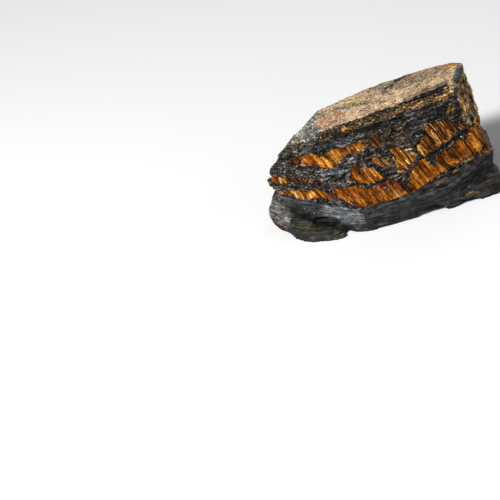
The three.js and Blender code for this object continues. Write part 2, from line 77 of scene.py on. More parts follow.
# Each golden lens is a row of stations (along, low, high)
LENSES = [
    # the broad lens on the slab, with notches in its top: its left half, and the right one, to the end
    [(-13.3, 8.2, 9), (-11.9, 7.9, 10.3), (-9.6, 6.6, 10.5), (-7.9, 5.4, 10.4), (-5.7, 5.2, 10),
     (-4, 5.1, 9.2), (-2.5, 5, 8.9), (-2, 5, 7.9), (-1.3, 5, 7.8), (-1, 5, 9.4), (0.6, 5, 9.8),
     (2.1, 5.2, 9.4), (2.8, 5.4, 7.8), (4.4, 5.6, 8.7)],
    [(1.2, 5.1, 9.6), (2.1, 5.2, 9.4), (2.8, 5.4, 7.8), (3.6, 5.5, 7.9), (5, 5.7, 9.6), (6.5, 6, 10.5),
     (8.6, 6.4, 11.5), (9.6, 6.6, 11.4), (10.2, 6.7, 9.2), (11.6, 6.9, 9.5), (12.4, 7.1, 11.3),
     (14, 7.2, 10.9), (15.7, 7.3, 11.7), (17, 7.3, 11.3), (18.6, 7.3, 12), (19.6, 7.1, 11.4),
     (21.4, 6.8, 12.3), (23, 6.6, 13), (28, 6.5, 13)],
    # the same bed on the left, and the thin one above it
    [(-27.5, 6, 7.4), (-25, 6, 8.1), (-20.5, 6.1, 8.6), (-15.3, 6.7, 9.6), (-13.5, 7.7, 8.4)],
    [(-26.5, 9.8, 11.8), (-24, 9.8, 11.8), (-21.5, 10.3, 11.6), (-13, 11.6, 12.2)],
    # the upper lens on the left, and a sliver beside it
    [(-17.5, 16.4, 17), (-16.2, 15.9, 17.6), (-14.2, 16.4, 18.3), (-12.7, 16.3, 18.8), (-11.4, 15.5, 18.8),
     (-9.9, 14.9, 17.8), (-8.7, 15, 17.8), (-6.4, 16, 18.4), (-3.6, 16.8, 18.8), (-1.2, 17, 19.1),
     (0.3, 17.6, 18.9), (0.8, 18, 18.5)],
    [(1.9, 17, 18.2), (2.4, 16.8, 19.5), (3.8, 17.2, 19.4), (4.5, 18, 18.5)],
    # the row of tufts across the middle
    [(-7.1, 11.6, 12.2), (-6.7, 11.4, 12.9), (-5.3, 10.8, 14.2), (-4.4, 10.5, 15.2), (-3.3, 10.1, 14.4),
     (-2.4, 10.1, 13.4), (-1.2, 10, 12.8), (-0.6, 10.2, 11.2), (0.2, 10.3, 10.6)],
    [(-0.3, 13.9, 14.6), (0.4, 13.3, 14.8), (1.3, 12.1, 14.9), (2.1, 12, 14), (2.9, 12.5, 13)],
    [(3.2, 10.5, 11.4), (3.8, 10.4, 13.6), (4.6, 10.5, 15.4), (6.2, 10.9, 15.7), (6.9, 11.3, 15.1),
     (8, 11.9, 13.4), (8.4, 12.1, 12.6)],
    [(9.9, 13.3, 14.1), (10.5, 12.1, 15), (11.5, 12.2, 14.6), (11.9, 12.5, 15.6), (13, 12.5, 15.8),
     (14.2, 12.7, 17.7), (15.8, 12.9, 18.4), (17.2, 13.3, 18.1), (18.9, 13.9, 18.2), (19.6, 14.1, 17.6),
     (20.4, 14.1, 16), (21.5, 14.1, 15.4), (22, 14.4, 14.7)],
]
# How much lighter the fibres of each lens are, and how much they differ from each other, in the same order
LENS_TONES = np.array([-0.06, 0.08, 0.04, -0.06, 0.05, -0.02, -0.1, -0.08, -0.19, -0.22])
LENS_SPREADS = np.array([0.9, 0.6, 0.8, 1, 0.6, 1, 1.3, 1.2, 1.9, 1.9])
# The borders of the lenses are ragged: each bundle of fibres ends in a tooth of its own, which goes over
# into the next one within `flank`. Teeth sway and change with the height, and have smaller notches.
TEETH = SimpleNamespace(
    width=0.6, rise=0.2, flank=(0.3, 0.7), sway=0.5, sway_height=3, level=2.3, ragged=0.13,
    notch=(0.4, 0.6, 0.7), stray=0.9,
)
# How the borders of the crust and of the slab wave, as (rise, width)
CRUST_WAVES = [(0.3, 4), (0.25, 0.8)]
SLAB_WAVE = (0.15, 0.9)

# Between these two X the top is a mixture of black and white grains
CORNER = (-17.3, -11)
# A crack in the top parts the crumbly front rim from the sandy face. It comes in between the X of `fade`,
# and its line waves, as (rise, width).
RIM_CRACK = SimpleNamespace(
    y=-2.2, slope=0.06, broad=(0.5, 5), fine=(0.25, 0.9), fade=(-1, 4), width=0.24, depth=0.8,
)
# The end zone of brown and golden crust begins at this X at the height `top`, further out by `spread` for
# each millimetre below, and reaches down to `low`. Both borders wave, as (rise, width).
END = SimpleNamespace(x=21.6, spread=0.05, top=23, low=12.9, side_wave=(0.4, 1.3), foot_wave=(0.5, 1.5))
# Cracks in the front: polylines of (along, z), with their half width and depth
CRACKS = [
    ([(-7.6, 11), (-5.4, 10.5), (-3, 9.8), (-0.6, 9.9)], 0.15, 0.4),
    ([(9.3, 11.9), (12, 12), (15, 12.2), (18, 12.9), (21.5, 13.6)], 0.16, 0.4),
    ([(16.9, 13.6), (17.1, 17.9)], 0.12, 0.3),
]
# They stray from their lines, as (rise, width), and end between these two Y
CRACK_STRAY = (0.12, 0.7)
CRACK_END = (-1.5, 0)

# The stone's skin: the size of its cells, and how many rounds it is softened before the fine relief
CELL = 0.255
SOFTEN_ROUNDS = 2
# The base is the skin that faces down by more than this, below this height
BASE = SimpleNamespace(facing=-0.8, height=0.4)
# The beds over the dark one. Each covers those before it.
BEDS = ("gold", "slab", "end", "crust", "rim")
# The fine relief of each bed: facets as (rise, size), lumps as (rise, width), and ledges as (rise, pitch)
RELIEF = {
    "dark": ([(0.3, (1.7, 1.7, 0.6)), (0.16, (0.65, 0.65, 0.36))], [(0.12, 2.2), (0.06, 0.4)],
             [(0.32, 0.9)]),
    "slab": ([(0.07, (2.4, 2.4, 0.7))], [(0.16, 3), (0.03, 0.6)], [(0.12, 0.7)]),
    "crust": ([(0.09, (0.8, 0.5, 0.5))], [(0.08, 1.4), (0.05, 0.4)], []),
    "rim": ([(0.42, (1.3, 0.55, 0.45)), (0.2, (0.55, 0.4, 0.3))], [(0.08, 0.5)], []),
    "end": ([(0.34, (1.5, 1.5, 1.3)), (0.07, (0.6, 0.6, 0.5))], [(0.14, 1.6)], []),
}
# The relief of a golden lens and of another bed takes over between these depths inside it
GOLD_BORDER = (0, 0.25)
BED_BORDER = (-0.1, 0.2)
# Facets: how far their middles stray in their cells, and how much their height and their tilt count
FACET = SimpleNamespace(stray=0.45, height=0.6, tilt=0.8)
# Ledges: how they wave and come and go, and over which shares of their pitch they swell out and break off
LEDGE = SimpleNamespace(wave=(0.8, (7, 7, 4)), patch=3, swell=(0, 0.8), brink=(0.82, 1), level=0.4)
# Furrows between fibres, as (rise, width), how much longer they are than wide, and their middle level
FURROWS = [(0.5, 1.3), (0.24, 0.6)]
FURROW_LENGTH = 9
FURROW_LEVEL = 0.4

# Each piece of fibres: how many are sown, and which places on the skin it covers
BACK_Y = 0.5
FIBRE_PIECES = {
    "fibres_front_left": (6600, lambda at: (at[:, 1] < BACK_Y) & (at[:, 0] < 0)),
    "fibres_front_right": (7200, lambda at: (at[:, 1] < BACK_Y) & (at[:, 0] >= 0)),
    "fibres_back": (5600, lambda at: at[:, 1] >= BACK_Y),
}
FIBRE = SimpleNamespace(
    # They grow this deep in a lens, this thickly in furrows, and thicker by 1 on ridges, between these
    # levels. None lie where the skin faces along them by more than `end_on`.
    inset=0.02, in_furrows=0.25, ridge=(-0.15, 0.1), end_on=0.75,
    # Their length, its share above the spot they grow from, their reach past the lens, how they stray, and
    # the steps in which they are followed
    length=(1.4, 6), above=(0.1, 0.9), past=0.05, stray=0.018, steps=12,
    # Their width and its odds. The least length, the radius and the lift off the skin, in widths.
    width=(0.08, 0.42), width_odds=(1.2, 2.8), slender=3, radius=0.6, lift=0.25,
    # How far their upper tips stand proud, and the widest gap under them
    tip=(0.0, 0.12), gap=0.5,
)
# How light fibres are: the middle, broad and fine bundles as (rise, width), what is a fibre's own, what
# those wider than `wide` gain, and how much painted shade darkens them in furrows
FIBRE_TONE = SimpleNamespace(
    middle=0.4, broad=(0.22, (1.4, 1.8, 8)), fine=(0.28, (0.36, 0.6, 7)), own=0.12, wide=0.25, gain=0.26,
    furrow_shade=0.9,
)
# A fibre is a prism with rings at these shares of its length, as thick as these shares of its width
RING_SHARES = (0, 0.3, 0.7, 1)
RING_WIDTHS = (0.35, 1, 0.9, 0.5)
SIDES = 3
# Where the corners of a ring lie across a fibre's square of the flat map
RING_COLUMNS = (0.1, 0.5, 0.9)

# Each piece of grains: how many, their half size, their shape along X, Y and Z, and how light they are
GRAIN_PIECES = {
    "crust_grains": (15000, (0.06, 0.2), (1, 1, 0.9), 0.5),
    "salty_grains": (2400, (0.1, 0.26), (1, 1, 0.8), 0.5),
    "hematite_grains": (19000, (0.06, 0.22), (1.2, 1.2, 0.5), 0.33),
    "rim_crumbs": (1500, (0.1, 0.42), (1.5, 0.9, 0.7), 0.38),
}
# Grains: the odds of their sizes, their uneven arms, their lift off the skin in half sizes, and how their
# tones gather around the middle and differ in patches, as (rise, width)
GRAIN = SimpleNamespace(
    size_odds=(1.3, 3.4), arms=(0.55, 1.2), lift=0.3, gather=3, broad=(0.25, (1.1, 1.1, 0.5)),
    fine=(0.25, (0.5, 0.5, 0.3)),
)
# Crust grains are sparse on the rim and crumbs on the end, and neither lie deeper in a crack than this
CRUST_ON_RIM = 0.35
CRUMBS_ON_END = 0.05
UNCRACKED = 0.4
# Single crystals at these places, coloured near white as a painted glint and shiny: their half size, and how
# light they are
GLINTS = [
    (-15.8, -4.5, 19.4), (-7, -9.6, 11.8), (-14.4, -7.2, 3.8), (-15.4, -6.2, 2.6), (-16.3, -5.4, 3.8),
    (1.9, -3.8, 22.5), (20.2, -5.2, 12.7), (-11.4, -12.6, 0.8), (-10.1, -11.1, 3.4), (-18.2, -3.1, 4.4),
    (8.4, -7.9, 14.4), (3, -5.6, 20),
]
GLINT_SIZE = (0.16, 0.26)
GLINT_TONE = 0.95
# Seeds of the random draws. The pieces of grains count on from theirs, and those of fibres from 0.
GRAIN_SEED = 11
GLINT_SEED = 12

# ---- Colours, as sRGB hex, from dark to light ----

PALETTES = {
    "dark": ["020202", "0d0b09", "221c16", "41382d", "665d52", "8e887e"],
    "gold": ["080301", "2a1002", "6b2e02", "a35a0a"],
    "slab": ["060605", "131312", "252524", "3b3b3b", "62625f"],
    "end": ["070504", "2c2014", "6e5430", "b08850", "e0bc7c", "fbeccc"],
    "crust": ["17110c", "65503a", "a2856a", "c2a684", "dac8aa", "fbf4e4"],
    "rim": ["030201", "080502", "160e07", "3a2714", "7c5a30", "d0b480"],
    # of the fibres, and of the grains in the top's left corner
    "fibres": ["0c0601", "3a1a03", "834304", "bd6f0a", "de9a2c", "f6dca0"],
    "salt": ["060605", "1c1c19", "44443e", "7c7b73", "b6b4aa", "ecebe6"],
}
# An overlay with this grey changes nothing. Darker colours darken and lighter ones lighten.
NEUTRAL = "bcbcbc"
# Drifts of other hues over a palette: their colours, and their widths along X, Y and Z
CASTS = {
    "dark": [
        (["b6c090", NEUTRAL, NEUTRAL, "aab8d0", "beacca"], (0.9, 0.9, 0.5)),
        (["d8b68a", "c4bcb0", NEUTRAL, "b2bcc6", "a4b6ca"], (1.8, 1.8, 1)),
    ],
    "crust": [
        (["b0b8a8", NEUTRAL, NEUTRAL, "c4b8ac", "ccb89c"], (3.4, 1.4, 1.4)),
        (["a8acb8", NEUTRAL, NEUTRAL, "c8b4a0"], (0.5, 0.5, 0.5)),
    ],
}
STAIN_COLOURS = {
    "peach": "cc9c78", "straw": "e2c88c", "amber": "c48a34", "ember": "9a4a0c", "slate": "5c6268",
    "pale_grey_and_light": "83868a", "ash": "8e8a84", "ink": "141c20", "moss": "4a4722", "cream": "e6dcc2",
    "lilac": "9a9698", "salt": "8d8f86", "umber": "3a200e", "olive": "8a8a60", "black_and_shadow": "060607",
    "dun": "7b6850", "teal": "54666a", "bole": "6e5438", "honey": "e28e2c", "butter": "ffd48e",
}
# Stains fade between these distances, in radii, which wave, as (rise, width)
STAIN_EDGE = (0.5, 1.4)
STAIN_WAVES = [(0.45, 0.9), (0.35, 0.35)]
# Each stain runs from one point to another, about a radius wide on each side, with a strength. The later
# ones lie on the earlier ones.
STAINS = [
    # on the sandy top
    ("dun", (6, 8.4, 23.2), (20, 8.6, 23.8), 3.2, 0.55),
    ("peach", (-8.8, 0.9, 22.2), (-5.4, 1.6, 22.5), 2.1, 0.8),
    ("teal", (-5.2, 5.3, 22.6), (-2.4, 3.8, 22.7), 0.7, 0.75),
    ("teal", (-10.8, 3.4, 22.2), (-5.2, 5.3, 22.6), 0.35, 0.5),
    ("straw", (-3.6, 6.6, 22.7), (-0.5, 7.4, 22.9), 0.6, 0.85),
    ("olive", (-1.9, 4.6, 22.8), (2, 3.6, 22.9), 1, 0.6),
    ("teal", (6.8, 6.9, 23.3), (10.3, 8.8, 23.6), 1.4, 0.45),
    ("ink", (7, 7.1, 23.3), (8.4, 7.4, 23.4), 0.6, 0.9),
    ("ink", (9.4, 8.6, 23.5), (11.8, 9.9, 23.7), 0.6, 0.95),
    ("amber", (11.4, 10, 23.6), (13, 10.4, 23.6), 0.5, 0.8),
    ("dun", (11, -0.9, 23.3), (20, 1, 23.7), 1.2, 0.75),
    # painted shadow: black along the crack behind the front rim
    ("black_and_shadow", (12.3, -1.4, 23.4), (20.6, -0.2, 23.6), 0.5, 1),
    ("salt", (-17, -1.5, 21.4), (-12, -1, 22), 2, 0.9),
    ("moss", (-20, -1.6, 20.6), (-18.4, -0.6, 21), 1.5, 0.6),
    ("salt", (-16, 3, 20), (-12.4, 5.4, 22), 2.8, 1),
    ("straw", (-16.4, -3.5, 21.8), (-14.9, -3.6, 21.8), 0.5, 0.95),
    # along its front rim
    ("salt", (-15.2, -4, 21.6), (-10.4, -3.7, 22), 0.7, 0.8),
    ("amber", (-5, -5, 22), (-3.3, -5, 21.9), 0.45, 0.95),
    ("straw", (-1.6, -5, 21.9), (1.6, -5, 22.1), 0.4, 0.6),
    ("amber", (3.6, -4.6, 22.3), (8, -4.2, 22.6), 0.4, 0.5),
    ("amber", (6, -4.1, 22.6), (13, -3.9, 22.9), 0.5, 0.75),
    ("amber", (13, -4.2, 22.6), (20.8, -3.8, 22.8), 0.5, 0.75),
    ("butter", (13, -3.8, 23), (21, -3.2, 23.3), 0.5, 0.95),
    ("butter", (20.9, -2.8, 23.3), (20.9, -0.3, 23.6), 0.45, 0.8),
    ("butter", (20.9, -0.3, 23.6), (22, 5.3, 24), 0.4, 0.6),
    ("straw", (21.4, 3, 23.9), (23, 7.8, 23.8), 0.5, 0.7),
    ("amber", (21.4, 8, 23.8), (24.3, 9.2, 23.5), 0.9, 0.85),
    # on the right end
    ("slate", (22.4, 1, 23.5), (24.2, 7.6, 23), 0.95, 0.95),
    ("lilac", (21.6, -1.6, 23.6), (22, -2.9, 20.6), 0.56, 0.95),
    ("peach", (22, -2.9, 20.4), (21.9, -3.3, 18.4), 0.46, 0.95),
    ("umber", (22.6, 0, 21.8), (23.9, 3.6, 21.6), 1.5, 0.6),
    ("black_and_shadow", (24.3, 4.6, 21.4), (24.3, 5.6, 20.4), 0.9, 0.8),
    ("umber", (22.6, -0.6, 20.6), (24, 3, 19.5), 0.7, 0.8),
    ("honey", (22.6, -2.2, 19.6), (23.4, 0.4, 18.3), 0.8, 0.95),
    ("butter", (22.6, -2.6, 18), (24.3, 1.8, 17.3), 0.7, 1),
    ("honey", (22.8, -2, 16.6), (24.2, 0.6, 16), 0.4, 0.8),
    ("black_and_shadow", (24.6, 1.6, 16.6), (24.3, 0.8, 15.8), 0.5, 0.7),
    ("umber", (24.3, 2.2, 20.4), (24.4, 2.6, 18.8), 0.9, 0.7),
    ("butter", (22.1, -3.4, 17.4), (23, -3, 14.8), 0.8, 1),
    ("cream", (22.2, -3.4, 16), (22.6, -3.3, 15.2), 0.6, 0.9),
    ("ash", (23.8, -1.4, 15.2), (24.3, -0.6, 13.6), 0.8, 0.95),
    ("honey", (24.6, 0.6, 15), (24.6, 0, 12.4), 0.6, 0.95),
    # on the dark beds
    ("slate", (-14.6, -4.6, 19.6), (-5, -6, 19.8), 0.9, 0.8),
    ("bole", (-17, -3.4, 20.6), (-4, -5.6, 21.1), 0.7, 0.45),
    # pale grey, partly painted light on the ledges that face the light
    ("pale_grey_and_light", (-12.4, -7.4, 14.5), (-7.2, -8.4, 14.1), 0.75, 0.7),
    ("pale_grey_and_light", (-7.2, -8.4, 14.1), (-3.6, -7.8, 16.2), 0.7, 0.7),
    ("pale_grey_and_light", (-22, -0.4, 9.3), (-13.6, -7.6, 10.4), 0.5, 0.7),
    ("pale_grey_and_light", (-10.6, -9.2, 11.4), (-7.2, -9.8, 11.5), 0.3, 0.7),
    ("slate", (-14.6, -6.6, 8.4), (-10.4, -9.6, 6.6), 1.1, 0.75),
    ("ink", (9, -5.4, 20.4), (20.6, -4.2, 19.8), 1.4, 0.45),
    ("slate", (9, -5, 21.6), (16, -4.6, 21.8), 0.4, 0.6),
    ("bole", (0.6, -6.4, 18.6), (8, -6.4, 17.6), 1.7, 0.35),
    ("moss", (3, -5.6, 19.6), (6.5, -6, 18.4), 1.3, 0.4),
    ("peach", (-12.8, -7.4, 12.8), (-12.4, -7.5, 12.1), 0.4, 1),
    ("straw", (7.4, -8, 14.7), (8.6, -7.8, 14.5), 0.25, 0.8),
    ("straw", (8.4, -8.2, 13.9), (9.2, -8.4, 12.7), 0.3, 0.8),
    ("straw", (4.6, -9.6, 10.9), (6, -9.8, 10.8), 0.4, 0.8),
    ("amber", (18.9, -4.5, 19.6), (19.9, -4.4, 19.3), 0.5, 0.6),
    ("bole", (1.5, -8.4, 14.2), (2.4, -8.6, 13.4), 0.9, 0.6),
    # painted shadow: black under the front of the crust
    ("black_and_shadow", (-7, -5.2, 21), (3, -5.4, 21.2), 0.75, 0.9),
    # on the golden lenses
    ("umber", (-18.6, -2.4, 16.8), (-16.6, -3.6, 16.7), 0.9, 0.7),
    ("umber", (-23, 1.6, 10.8), (-13, -7.6, 11.8), 0.9, 0.65),
    ("amber", (-25, 3, 8), (-14.5, -7, 8.4), 0.9, 0.7),
    ("amber", (-12, -5.8, 17.6), (-2, -7, 18), 1, 0.5),
    ("umber", (-2.8, -7.6, 12.6), (-1.4, -8.4, 10.6), 0.7, 0.6),
    ("umber", (-2.3, -9.6, 9.6), (0.2, -11.3, 5.9), 0.6, 0.65),
    ("umber", (1.2, -9.8, 9.2), (2.8, -11.4, 6), 0.45, 0.6),
    ("ember", (-9.5, -9.6, 8.6), (0.5, -11, 7.4), 1.6, 0.7),
    ("umber", (17.2, -5.2, 17.2), (21, -4.4, 15), 1, 0.45),
    ("umber", (0.6, -6.4, 18.6), (2.6, -7, 17.4), 1, 0.5),
    ("straw", (-25, 4, 8.2), (-22, 2.8, 6.6), 0.35, 0.8),
    ("honey", (22.4, -3.6, 13.9), (23.1, -3.5, 11.8), 0.8, 0.6),
    ("honey", (23.1, -3.5, 11.8), (25.5, -2.6, 6.8), 1.2, 0.6),
    ("umber", (14.9, -5.6, 17.6), (16.2, -5.6, 15.4), 0.5, 0.5),
    ("straw", (22.2, -3.8, 11.4), (23.4, -4.3, 8.2), 0.18, 0.8),
    # on the slab
    ("slate", (-24.4, 3, 6.4), (-15, -6.3, 5.6), 1.5, 0.5),
    # pale grey on the slab's upper band, partly painted light where it faces the light
    ("pale_grey_and_light", (-14.4, -6.8, 4.4), (-7, -12.4, 4), 1.7, 0.85),
    ("ink", (-22, -0.2, 4.9), (-14.6, -5.8, 5.1), 0.9, 0.55),
    # the next four: painted shadow, black along the ledge where the slab's upper part overhangs its foot
    ("black_and_shadow", (-22.4, -0.2, 3.8), (-18.4, -4.4, 3.6), 0.9, 0.85),
    ("black_and_shadow", (-18.4, -4.6, 3.2), (-14.9, -7.2, 2.4), 1.1, 0.95),
    ("black_and_shadow", (-14.9, -7.4, 2), (-12.1, -9.6, 1.9), 0.9, 0.95),
    ("black_and_shadow", (-12.1, -9.9, 1.8), (-8.6, -11.9, 0.6), 0.8, 0.95),
    ("cream", (-8.4, -11.9, 3.8), (-6.4, -13, 2.7), 0.13, 0.7),
    ("ash", (-26.4, 4.4, 3.6), (-24.4, -1.6, 2.6), 2.6, 0.62),
    ("dun", (-23.4, -2.2, 1.6), (-22.2, -3.9, 1.4), 0.6, 0.8),
    ("umber", (-25.8, 0.4, 0.8), (-24.2, -2.4, 0.3), 0.6, 0.9),
    ("moss", (-19.8, -8, 2.4), (-13, -11, 1.6), 1.8, 0.3),
    ("moss", (-19.8, -8, 2.4), (-16.6, -9.9, 1.9), 0.9, 0.6),
    ("black_and_shadow", (10.5, -12.4, 6), (22, -6, 6.6), 0.5, 0.75),
    ("dun", (9.8, -12.3, 5.9), (14.6, -9.6, 6.1), 0.5, 0.7),
    ("amber", (16.3, -8.4, 6.3), (17.7, -7.2, 6.4), 0.4, 0.9),
    ("amber", (19.4, -6.3, 6.8), (22.3, -5.1, 6.6), 0.22, 0.6),
    # painted light: a paler band along a fold of the slab
    ("pale_grey_and_light", (14.6, -12.6, 5), (21.6, -7.4, 5.4), 0.4, 0.5),
    ("slate", (-5, -13.3, 4.6), (10, -13, 5), 0.9, 0.3),
    ("umber", (20.5, -10.3, 3.2), (25.6, -11.6, 1), 0.8, 0.5),
    ("amber", (18, -12.2, 1.9), (20.4, -11.8, 1.7), 0.35, 0.35),
]


def linear(code):
    """A hex colour as linear red, green and blue."""
    parts = np.array([int(code[k:k + 2], 16) for k in (0, 2, 4)]) / 255
    return np.where(parts < 0.04045, parts / 12.92, ((parts + 0.055) / 1.055) ** 2.4)


# ---- Repeatable roughness, on arrays of points ----

def smooth_step(value, low=0.0, high=1.0):
    share = np.clip((value - low) / (high - low), 0, 1)
    return share * share * (3 - 2 * share)


def blend(a, b, share):
    return a + (b - a) * share


def cell_value(x, y, z):
    """A number from -1 to 1 that belongs to a cell, as in the solid's source."""
    wave = np.sin(x * 127.1 + y * 311.7 + z * 74.7) * 43758.5453
    return 2 * (wave - np.floor(wave)) - 1


def lumps(x, y, z):
    """Smooth lumps about 1 wide, from -1 to 1, as in the solid's source."""
    place = np.array(np.broadcast_arrays(x, y, z), float)
    cx, cy, cz = cell = np.floor(place)
    sx, sy, sz = smooth_step(place - cell)

    def row(dy, dz):
        return blend(cell_value(cx, cy + dy, cz + dz), cell_value(cx + 1, cy + dy, cz + dz), sx)

    def layer(dz):
        return blend(row(0, dz), row(1, dz), sy)

    return blend(layer(0), layer(1), sz)


def lumps_at(points, width, seed=0.0):
    """Lumps of this width, or of these widths along X, Y and Z."""
    x, y, z = (points / width).T
    return lumps(x + seed, y + seed, z - seed)


def swell(points, size, seed=0.0):
    """Lumps of this (rise, width)."""
    rise, width = size
    return rise * lumps_at(points, width, seed)


# Points are turned this way first, so that the lattice of the lumps doesn't show
TILT = np.array(Matrix.Rotation(1.1, 3, Vector((0.5, 0.8, 0.3))))


def all_lumps(points, sizes):
    return sum(swell(points @ TILT, size, 11.0 * k) for k, size in enumerate(sizes))


def facets(points, size):
    """Broken facets about `size` wide, from about -1 to 1: every cell has its own height and tilt."""
    place = points / size
    cell = np.floor(place)
    nearest = np.full(len(points), np.inf)
    best, offset = cell.copy(), np.zeros_like(place)
    for step in np.ndindex(3, 3, 3):
        near = cell + step - 1.0
        x, y, z = near.T
        stray = np.stack([cell_value(x + 17 * axis, y, z) for axis in range(3)], 1)
        centre = near + 0.5 + FACET.stray * stray
        gap = place - centre
        distance = (gap ** 2).sum(1)
        closer = distance < nearest
        nearest = np.where(closer, distance, nearest)
        best[closer], offset[closer] = near[closer], gap[closer]
    x, y, z = best.T
    tilt = np.stack([cell_value(x, y + 29 * (axis + 1), z) for axis in range(3)], 1)
    return FACET.height * cell_value(x, y, z + 61) + FACET.tilt * (tilt * offset).sum(1)


def all_facets(points, sizes):
    return sum(rise * facets(points + 7.3 * k, size) for k, (rise, size) in enumerate(sizes))


def ledges(points, rise, pitch):
    """Shelves along the beds: going up, each swells out slowly and breaks off in a step."""
    place = points[:, 2] / pitch + swell(points, LEDGE.wave, 3)
    share = place - np.floor(place)
    strength = 0.5 + 0.5 * lumps_at(points, (LEDGE.patch, LEDGE.patch, pitch), 17)
    shelf = smooth_step(share, *LEDGE.swell) - smooth_step(share, *LEDGE.brink) - LEDGE.level
    return rise * strength * shelf


def furrows(points):
    """Ridges along the fibres, with sharp furrows between them."""
    place = fibre_place(points)
    ridges = 0
    for rise, width in FURROWS:
        sizes = (width, width, FURROW_LENGTH * width)
        ridges = ridges + rise * (np.abs(lumps_at(place, sizes, width)) - FURROW_LEVEL)
    return ridges


# ---- Where a point lies in the beds ----

def fibre_place(points):
    """Places across the fibres, by along and Y, and up them, by Z."""
    x, y, z = points.T
    return np.stack([x + LEAN * (z - LEAN_LEVEL), y, z], 1)


def slab_top(points):
    x = points[:, 0]
    right_x, right_slope = SLAB_TOP.right
    left_x, left_slope = SLAB_TOP.left
    return SLAB_TOP.level + right_slope * np.maximum(0, x - right_x) + left_slope * np.maximum(0, left_x - x)


def ragged_height(points, height):
    """The height, shifted by a tooth for each bundle of fibres and by smaller notches."""
    place = fibre_place(points)
    tooth = place[:, 0] / TEETH.width + TEETH.sway * lumps(points[:, 1], height / TEETH.sway_height, 0)
    line = np.floor(tooth)
    level = np.floor(height / TEETH.level)
    rises = [cell_value(line + k, 3, level) for k in (0, 1)]
    shift = blend(*rises, smooth_step(tooth - line, *TEETH.flank))
    return height + TEETH.rise * shift + TEETH.ragged * lumps_at(place, TEETH.notch, 21)


def lens_depths(points):
    """How far inside each golden lens each point is, negative outside."""
    x, y, z = points.T
    far = smooth_step(y, 0, WANDER.full_y)
    across, up = y / WANDER.width, z / WANDER.width
    place = fibre_place(points)[:, 0] + WANDER.along * far * lumps(up, across, 7)
    place = place + TEETH.ragged * lumps_at(points, TEETH.stray, 13)
    height = z + WANDER.height * far * lumps(x / WANDER.width, across, 3)
    height = ragged_height(points, height)
    depths = []
    for stations in LENSES:
        start, low, high = np.array(stations).T
        ends = np.minimum(place - start[0], start[-1] - place)
        walls = np.minimum(height - np.interp(place, start, low), np.interp(place, start, high) - height)
        depths.append(np.minimum(ends, walls))
    return np.minimum(depths, z - slab_top(points))


def inside_gold(points):
    return lens_depths(points).max(0)


def inside_crust(points):
    foot = np.interp(points[:, 0], *np.array(CRUST_FOOT).T)
    broad, fine = CRUST_WAVES
    return points[:, 2] - foot - swell(points, broad) - swell(points, fine, 2)


def behind_crack(points):
    """How far behind the crack along the front rim a point is."""
    line = RIM_CRACK.y + RIM_CRACK.slope * points[:, 0]
    line = line + swell(points, RIM_CRACK.broad, 1) + swell(points, RIM_CRACK.fine, 4)
    return points[:, 1] - line


def inside_end(points):
    x, _, z = points.T
    border = END.x + END.spread * (END.top - z) + swell(points, END.side_wave, 6)
    return np.minimum(x - border, z - END.low - swell(points, END.foot_wave, 2))


def gap_to_line(points, corners):
    """How far each 2-D point is from a polyline."""
    gap = np.full(len(points), np.inf)
    for start, end in zip(corners, corners[1:]):
        start, run = np.array(start, float), np.subtract(end, start)
        share = np.clip((points - start) @ run / (run @ run), 0, 1)
        gap = np.minimum(gap, np.linalg.norm(points - start - share[:, None] * run, axis=1))
    return gap


def cracks(points):
    """How deep in a crack each point is, from 0 to 1, and how deep it is carved for that."""
    stray = np.stack([swell(points, CRACK_STRAY, seed) for seed in (0, 9)], 1)
    place = fibre_place(points)[:, [0, 2]] + stray
    share, depth = np.zeros(len(points)), np.zeros(len(points))
    front = 1 - smooth_step(points[:, 1], *CRACK_END)
    for corners, half_width, deep in CRACKS:
        inside = front * np.exp(-(gap_to_line(place, corners) / half_width) ** 2)
        share, depth = np.maximum(share, inside), np.maximum(depth, deep * inside)
    here = (inside_crust(points) > 0) * smooth_step(points[:, 0], *RIM_CRACK.fade)
    inside = here * np.exp(-(behind_crack(points) / RIM_CRACK.width) ** 2)
    return np.maximum(share, inside), np.maximum(depth, RIM_CRACK.depth * inside)


def stain(points):
    """The colour of the stains at each point, and in the fourth column how strong they are."""
    colour, strength = np.zeros((len(points), 3)), np.zeros((len(points), 1))
    broad, fine = STAIN_WAVES
    wobble = swell(points, broad, 5) + swell(points, fine, 8)
    for name, start, end, radius, most in STAINS:
        start, run = np.array(start, float), np.subtract(end, start)
        share = np.clip((points - start) @ run / (run @ run), 0, 1)
        gap = np.linalg.norm(points - start - share[:, None] * run, axis=1) / radius
        amount = most * (1 - smooth_step(gap + wobble, *STAIN_EDGE))[:, None]
        before = strength * (1 - amount)
        strength = amount + before
        colour = (amount * linear(STAIN_COLOURS[name]) + before * colour) / np.maximum(strength, 1e-6)
    return np.hstack([colour, strength])


def bed_marks(points):
    """How far each point is inside each kind of bed, its stain, and how deep it is in a crack."""
    crust = inside_crust(points)
    return {
        "gold": inside_gold(points),
        "slab": slab_top(points) - points[:, 2] + swell(points, SLAB_WAVE, 3),
        "crust": crust,
        "rim": np.minimum(crust, -behind_crack(points)),
        "end": np.minimum(-crust, inside_end(points)),
        "stain": stain(points),
        "crack": cracks(points)[0],
    }


# ---- From arrays to Blender ----

